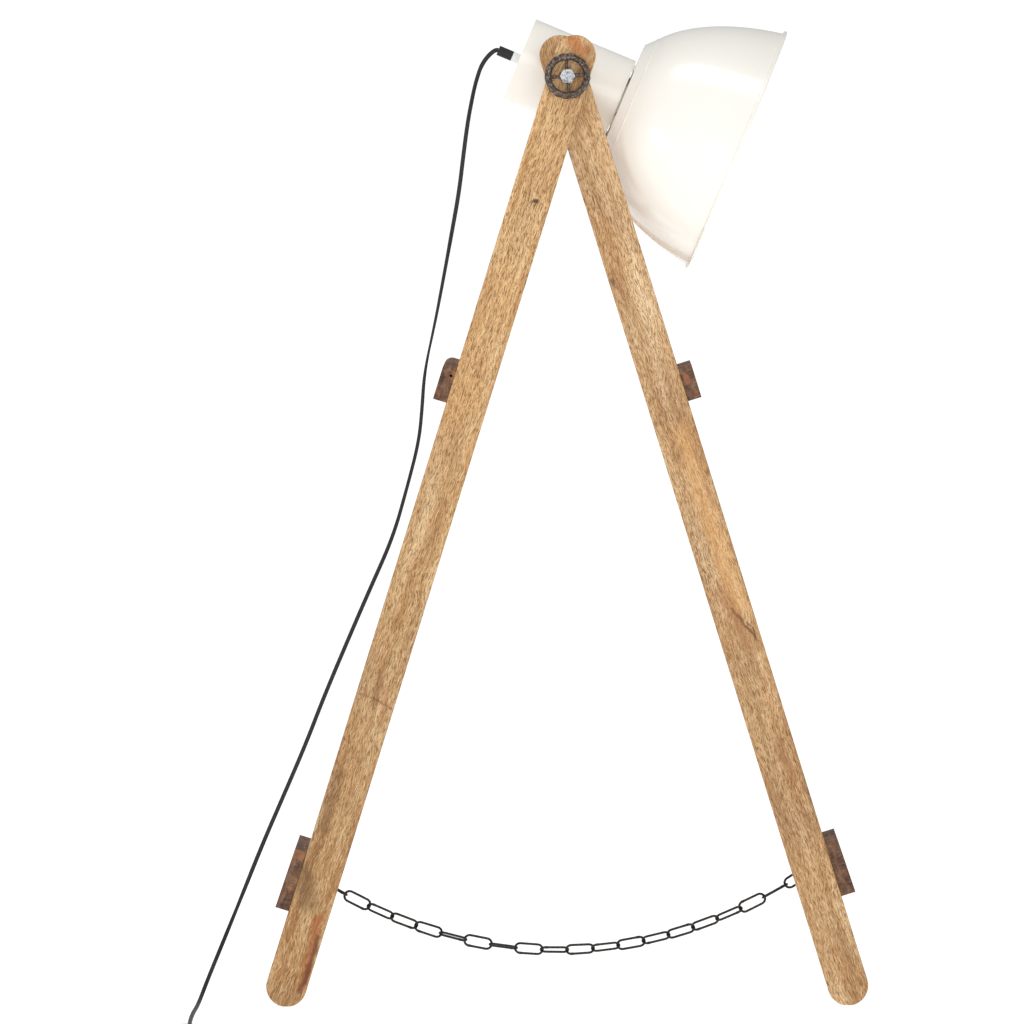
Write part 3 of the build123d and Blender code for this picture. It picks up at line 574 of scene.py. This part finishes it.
outer_near_wood = mango_wood(
    "mango wood, outer near", OUTER, 1, OUTER_TONES, OUTER_PAINTED_SHADE, OUTER_NEAR_MARKS
)
outer_far_wood = mango_wood("mango wood, outer far", OUTER, 2, OUTER_TONES, OUTER_PAINTED_SHADE)
inner_near_wood = mango_wood(
    "mango wood, inner near", INNER, 3, INNER_TONES, INNER_PAINTED_SHADE, INNER_NEAR_MARKS
)
inner_far_wood = mango_wood("mango wood, inner far", INNER, 4, INNER_TONES, INNER_PAINTED_SHADE)
white_enamel = enamel()
iron_casting = cast_iron()
zinc_plate = zinc()
chain_iron = dark_iron()
brass_metal = brass()
black_plastic = moulded("black plastic", srgb(14, 14, 15), srgb(26, 26, 27), 0.5)
cord_sheath = moulded("cord sheath", srgb(12, 13, 14), srgb(28, 29, 31), 0.4, fineness=1400)
clear_plastic = moulded("clear plastic", srgb(222, 224, 222), srgb(242, 243, 240), 0.35)
holder_plastic = moulded("holder porcelain", srgb(226, 222, 212), srgb(240, 237, 229), 0.3, fineness=500)
terminal_plastic = moulded("terminal plastic", srgb(214, 212, 204), srgb(232, 230, 224), 0.45)

FINISHES = {
    "outer_leg_near": outer_near_wood,
    "outer_leg_far": outer_far_wood,
    "inner_leg_near": inner_near_wood,
    "inner_leg_far": inner_far_wood,
    "outer_upper_rung": stained_wood("stained wood, outer upper", OUTER, 5, RUNG_TONES),
    "outer_lower_rung": stained_wood("stained wood, outer lower", OUTER, 6, RUNG_TONES),
    "inner_upper_rung": stained_wood("stained wood, inner upper", INNER, 7, RUNG_TONES),
    "inner_lower_rung": stained_wood("stained wood, inner lower", INNER, 8, RUNG_TONES),
    "outer_rung_screws": zinc_plate,
    "inner_rung_screws": zinc_plate,
    "outer_chain_eye": chain_iron,
    "inner_chain_eye": chain_iron,
    "leg_washers": zinc_plate,
    "handwheel_washers": zinc_plate,
    "head_tube": white_enamel,
    "head_back_plate": white_enamel,
    "shade": white_enamel,
    "shade_tabs": white_enamel,
    "pivot_spacers": white_enamel,
    "pivot_nuts": zinc_plate,
    "cord_gland": clear_plastic,
    "cord_grip": black_plastic,
    "terminal_block": terminal_plastic,
    "lampholder_body": holder_plastic,
    "lampholder_sleeve": brass_metal,
    "lampholder_contact": brass_metal,
    "lampholder_strap": zinc_plate,
    "clamp_bolt_near": zinc_plate,
    "clamp_bolt_far": zinc_plate,
    "foot_switch_tray": black_plastic,
    "foot_switch_cover": black_plastic,
    "foot_switch_button": black_plastic,
    "plug_body": black_plastic,
    "plug_pins": brass_metal,
    "coil_tie": black_plastic,
}
for node_name, material in FINISHES.items():
    node = nodes[node_name]
    node.data.materials.clear()
    node.data.materials.append(material)


# ---- mesh helpers ----


def mesh_object(name, points, faces, material):
    """A smooth-shaded mesh object made from points and faces."""
    mesh = bpy.data.meshes.new(name)
    mesh.from_pydata([tuple(point) for point in points], [], faces)
    mesh.shade_smooth()
    mesh.materials.append(material)
    piece = bpy.data.objects.new(name, mesh)
    bpy.context.scene.collection.objects.link(piece)
    return piece


def ring_faces(rings, sides, closed):
    """Quads between neighbouring rings, which either close on themselves or have a cap at each end."""
    faces = []
    for ring in range(rings if closed else rings - 1):
        here = ring * sides
        there = (ring + 1) % rings * sides
        for side in range(sides):
            after = (side + 1) % sides
            faces.append((here + side, here + after, there + after, there + side))
    if not closed:
        faces.append(tuple(reversed(range(sides))))
        faces.append(tuple(range((rings - 1) * sides, rings * sides)))
    return faces


def spline_points(points):
    """Points along the smooth spline that has these control points."""
    curve = bpy.data.curves.new("route", "CURVE")
    curve.dimensions = "3D"
    curve.resolution_u = ROUTE_STEPS
    spline = curve.splines.new("NURBS")
    spline.points.add(len(points) - 1)
    for point, place in zip(spline.points, points):
        point.co = (*place, 1)
    spline.order_u = 3
    spline.use_endpoint_u = True
    route = bpy.data.objects.new("route", curve)
    bpy.context.scene.collection.objects.link(route)
    bpy.context.view_layer.update()
    mesh = bpy.data.meshes.new_from_object(route)
    along = [vertex.co.copy() for vertex in mesh.vertices]
    bpy.data.objects.remove(route)
    return along


# ---- cord ----


def coil_points():
    """Control points of the put-away turns, ending where the outermost one meets the plug."""
    points = []
    half = COIL_TURNS / 2
    low, high = COIL_LAYERS
    for step in range(1, COIL_TURNS * COIL_STEPS + 1):
        turn = step / COIL_STEPS
        inwards = min(turn, COIL_TURNS - turn) / (half - COIL_NARROW_TURNS / 2)
        radius = COIL_WIDE + (COIL_NARROW - COIL_WIDE) * min(inwards, 1)
        lift = min(max(turn - half + 0.5, 0), 1)  # climbs during the middle turn
        height = low + (high - low) * lift
        angle = 2 * math.pi * turn - math.pi / 2
        points.append(COIL + Vector((radius * math.cos(angle), radius * math.sin(angle), height)))
    return points


def flex_section(angle):
    """Distance from the middle to the edge of two joined round cores, in this direction."""
    core = CORD_THICK / 2
    apart = (CORD_WIDTH - CORD_THICK) / 2
    return apart * abs(math.cos(angle)) + math.sqrt(core**2 - (apart * math.sin(angle)) ** 2)


def sleeve_section(angle):
    """Distance from the middle to the edge of the oval sleeve, in this direction."""
    wide, thick = SLEEVE_WIDTH / 2, SLEEVE_THICK / 2
    return wide * thick / math.hypot(thick * math.cos(angle), wide * math.sin(angle))


def flex(name, along, material):
    """A flat twin flex along these points, slowly turning about itself, sleeved at its start."""
    points = []
    distances, turns = zip(*TWIST)
    across = Vector((0, 1, 0))
    travelled = 0.0
    for i, place in enumerate(along):
        before, after = along[max(i - 1, 0)], along[min(i + 1, len(along) - 1)]
        ahead = (after - before).normalized()
        across = (across - across.dot(ahead) * ahead).normalized()
        aside = ahead.cross(across)
        travelled += (place - before).length
        twist = float(np.interp(travelled, distances, turns))
        section = sleeve_section if travelled < SLEEVE_LENGTH else flex_section
        for side in range(CORD_SIDES):
            angle = 2 * math.pi * side / CORD_SIDES
            reach = section(angle)
            turned = angle + twist
            points.append(place + reach * (math.cos(turned) * aside + math.sin(turned) * across))
    return mesh_object(name, points, ring_faces(len(along), CORD_SIDES, False), material)


cord_line = spline_points([Vector(p) for p in CORD_ROUTE] + coil_points() + [Vector(PLUG_NOSE)])
cord = flex("mains_cord", cord_line, cord_sheath)
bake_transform(cord)
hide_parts("cord_run", "cord_link", "cord_coil")


# ---- chain ----


def main_axes(node):
    """Middle of a node's mesh, and its directions from longest to shortest with the reach along each."""
    points = np.array([vertex.co for vertex in node.data.vertices])
    middle = points.mean(axis=0)
    _, directions = np.linalg.eigh(np.cov((points - middle).T))
    axes = []
    for column in (2, 1, 0):
        direction = directions[:, column]
        reach = np.abs((points - middle) @ direction).max()
        axes.append((Vector(direction), float(reach)))
    return Vector(middle), axes


def stadium(share, straight, radius):
    """A place on a ring of two straight sides and two half rounds, this share of the way round it."""
    bow = math.pi * radius
    travelled = share * (4 * straight + 2 * bow) - bow / 2
    side = 1
    if travelled > 2 * straight + bow / 2:
        travelled -= 2 * straight + bow
        side = -1
    if travelled < bow / 2:
        angle = travelled / radius
        return side * (straight + radius * math.cos(angle)), side * radius * math.sin(angle)
    return side * (straight - (travelled - bow / 2)), side * radius


def chain_link(number, random_source):
    """One bent wire link with its weld on one side, in its CAD link's place."""
    node_name = f"chain_link_{number:02d}"
    middle, ((long, reach_long), (wide, reach_wide), (thin, _)) = main_axes(nodes[node_name])
    half_long, half_wide = reach_long - LINK_WIRE, reach_wide - LINK_WIRE
    weld = random_source.choice(WELD_SHARES) * 2 * math.pi
    skew = random_source.uniform(-LINK_SKEW, LINK_SKEW)
    straight = half_long - half_wide
    points = []
    places = []
    for step in range(LINK_STEPS):
        out, aside = stadium(step / LINK_STEPS, straight, half_wide)
        places.append(middle + out * long + aside * (1 + skew * out / half_long) * wide)
    for step, place in enumerate(places):
        turn = 2 * math.pi * step / LINK_STEPS
        ahead = (places[(step + 1) % LINK_STEPS] - places[step - 1]).normalized()
        aside = ahead.cross(thin)
        bead = math.exp(-(((turn - weld) / WELD_WIDTH) ** 2))
        radius = LINK_WIRE * (1 + WELD_SWELL * bead)
        for side in range(LINK_SIDES):
            angle = 2 * math.pi * side / LINK_SIDES
            points.append(place + radius * (math.cos(angle) * aside + math.sin(angle) * thin))
    faces = ring_faces(LINK_STEPS, LINK_SIDES, True)
    link = mesh_object(f"link_{number:02d}", points, faces, chain_iron)
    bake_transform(link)
    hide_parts(node_name)


chain_random = random.Random(11)
for link_number in range(1, LINKS + 1):
    chain_link(link_number, chain_random)


# ---- handwheels ----


def wheel_rim(middle_y, end):
    """The round rim, its outer edge scalloped by worn finger grips."""
    half = (WHEEL_OUT - WHEEL_IN) / 2
    points = []
    for ring in range(RIM_RINGS):
        turn = 2 * math.pi * ring / RIM_RINGS
        grip = 0.5 + 0.5 * math.cos(GRIPS * turn + GRIPS_UNEVEN * math.sin(3 * turn))
        around = (RIM_LUMPS * math.cos(turn), RIM_LUMPS * math.sin(turn), RIM_LUMPS_APART * end)
        rough = noise.noise(Vector(around))
        for side in range(RIM_SIDES):
            angle = 2 * math.pi * side / RIM_SIDES
            out = math.cos(angle)
            up = math.sin(angle)
            bulge = math.copysign(abs(out) ** RIM_FULL_OUT, out) * half
            if out > 0:
                bulge -= (GRIP_DEPTH * grip + GRIP_ROUGH * rough) * out
            lift = math.copysign(abs(up) ** RIM_FULL_UP, up)
            raised = lift * RIM_HALF_THICK * (1 + RIM_ROUGH * rough)
            radius = WHEEL_MIDDLE + bulge
            points.append((radius * math.cos(turn), middle_y + end * raised, radius * math.sin(turn)))
    return points, ring_faces(RIM_RINGS, RIM_SIDES, True)


def wheel_spoke(turn, middle_y):
    """An oval spoke that widens into the hub and the rim."""
    points = []
    for station in range(SPOKE_STATIONS):
        share = station / (SPOKE_STATIONS - 1)
        radius = SPOKE_START + (WHEEL_MIDDLE - SPOKE_START) * share
        flare = (2 * share - 1) ** 4
        wide = SPOKE_HALF + SPOKE_FLARE_WIDE * flare
        deep = SPOKE_HALF + SPOKE_FLARE_DEEP * flare
        for side in range(SPOKE_SIDES):
            angle = 2 * math.pi * side / SPOKE_SIDES
            aside = wide * math.cos(angle)
            lift = deep * math.sin(angle)
            x = radius * math.cos(turn) - aside * math.sin(turn)
            z = radius * math.sin(turn) + aside * math.cos(turn)
            points.append((x, middle_y + lift, z))
    return points, ring_faces(SPOKE_STATIONS, SPOKE_SIDES, False)


def wheel_hub(low_y, high_y):
    """The square hub, its corners drawn out towards the spokes."""
    points = []
    for level, size in HUB_LEVELS:
        for side in range(HUB_SIDES):
            angle = 2 * math.pi * side / HUB_SIDES
            corner = abs(math.cos(2 * angle)) ** 3
            radius = (HUB_RADIUS + HUB_CORNER * corner) * size
            y = low_y + (high_y - low_y) * level
            points.append((radius * math.cos(angle), y, radius * math.sin(angle)))
    return points, ring_faces(len(HUB_LEVELS), HUB_SIDES, False)


def joined(shells):
    """The points and faces of several shells, put together as one mesh's."""
    points = []
    faces = []
    for shell_points, shell_faces in shells:
        base = len(points)
        points += shell_points
        faces += [tuple(base + corner for corner in face) for face in shell_faces]
    return points, faces


def turn_faces_out(mesh):
    """Makes every shell's faces look outwards."""
    shell = bmesh.new()
    shell.from_mesh(mesh)
    bmesh.ops.recalc_face_normals(shell, faces=shell.faces)
    shell.to_mesh(mesh)
    shell.free()


def handwheel(node_name, end):
    """A cast handwheel, its rim, spokes and hub roughened as cast iron is."""
    low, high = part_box(node_name)
    inner_y = min(abs(low.y), abs(high.y))
    outer_y = max(abs(low.y), abs(high.y))
    rim_y = end * (inner_y + RIM_STAND_OFF)
    spokes = [wheel_spoke(2 * math.pi * spoke / SPOKES, rim_y) for spoke in range(SPOKES)]
    hub = wheel_hub(end * (inner_y + HUB_GAP), end * outer_y)
    points, faces = joined([wheel_rim(rim_y, end), *spokes, hub])
    wheel = mesh_object(node_name.replace("handwheel", "wheel"), points, faces, iron_casting)
    cast = wheel.data
    turn_faces_out(cast)
    for vertex in cast.vertices:
        pitted = sum(noise.noise(vertex.co * fineness) * depth for fineness, depth in PITS)
        vertex.co += vertex.normal * pitted
    cast.transform(Matrix.Rotation(WHEEL_TURN, 4, "Y"))
    cast.transform(Matrix.Translation(PIVOT))
    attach(wheel, "wheel_near" if end < 0 else "wheel_far")
    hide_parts(node_name)


handwheel("handwheel_near", NEAR)
handwheel("handwheel_far", FAR)


# ---- stage, lights and camera ----


def floor():
    """A wide white floor that glows enough to hide the lamp's shadow."""
    half = FLOOR_HALF
    corners = [(-half, -half, 0), (half, -half, 0), (half, half, 0), (-half, half, 0)]
    material = bpy.data.materials.new("white floor")
    material.use_nodes = True
    shader = material.node_tree.nodes["Principled BSDF"]
    shader.inputs["Base Color"].default_value = (FLOOR_GREY, FLOOR_GREY, FLOOR_GREY, 1)
    shader.inputs["Roughness"].default_value = 1.0
    shader.inputs["Specular IOR Level"].default_value = 0.0
    shader.inputs["Emission Color"].default_value = (1, 1, 1, 1)
    shader.inputs["Emission Strength"].default_value = FLOOR_GLOW
    plane = mesh_object("floor", corners, [(0, 1, 2, 3)], material)


def softbox(name, place, aim, width, height, power):
    """A rectangular soft light that looks at aim."""
    light = bpy.data.lights.new(name, "AREA")
    light.shape = "RECTANGLE"
    light.size = width
    light.size_y = height
    light.energy = power
    box = bpy.data.objects.new(name, light)
    box.location = place
    box.rotation_euler = (Vector(aim) - Vector(place)).to_track_quat("-Z", "Y").to_euler()
    bpy.context.scene.collection.objects.link(box)


def surroundings():
    """A white room: pure white where the camera sees it, a softer white as light."""
    world = bpy.data.worlds.new("white room")
    bpy.context.scene.world = world
    world.use_nodes = True
    tree = world.node_tree
    background = tree.nodes["Background"]
    background.inputs["Color"].default_value = (1, 1, 1, 1)
    path = tree.nodes.new("ShaderNodeLightPath")
    strength = tree.nodes.new("ShaderNodeMapRange")
    strength.inputs["To Min"].default_value = SKY_LIT
    strength.inputs["To Max"].default_value = SKY_SEEN
    tree.links.new(path.outputs["Is Camera Ray"], strength.inputs["Value"])
    tree.links.new(strength.outputs[0], background.inputs["Strength"])


def camera():
    """The camera, level with the bolts, far off and a little right of the picture's middle."""
    data = bpy.data.cameras.new("camera")
    holder = bpy.data.objects.new("camera", data)
    bpy.context.scene.collection.objects.link(holder)
    holder.location = (0, -CAMERA_AWAY, PIVOT.z)
    sight = AIM - holder.location
    holder.rotation_euler = sight.to_track_quat("-Z", "Y").to_euler()
    data.sensor_width = SENSOR
    data.lens = SENSOR * sight.length / VIEW_WIDTH
    data.clip_end = 100
    bpy.context.scene.camera = holder


floor()
surroundings()
for softbox_settings in SOFTBOXES:
    softbox(*softbox_settings)
bpy.context.scene.view_settings.view_transform = "Standard"
camera()
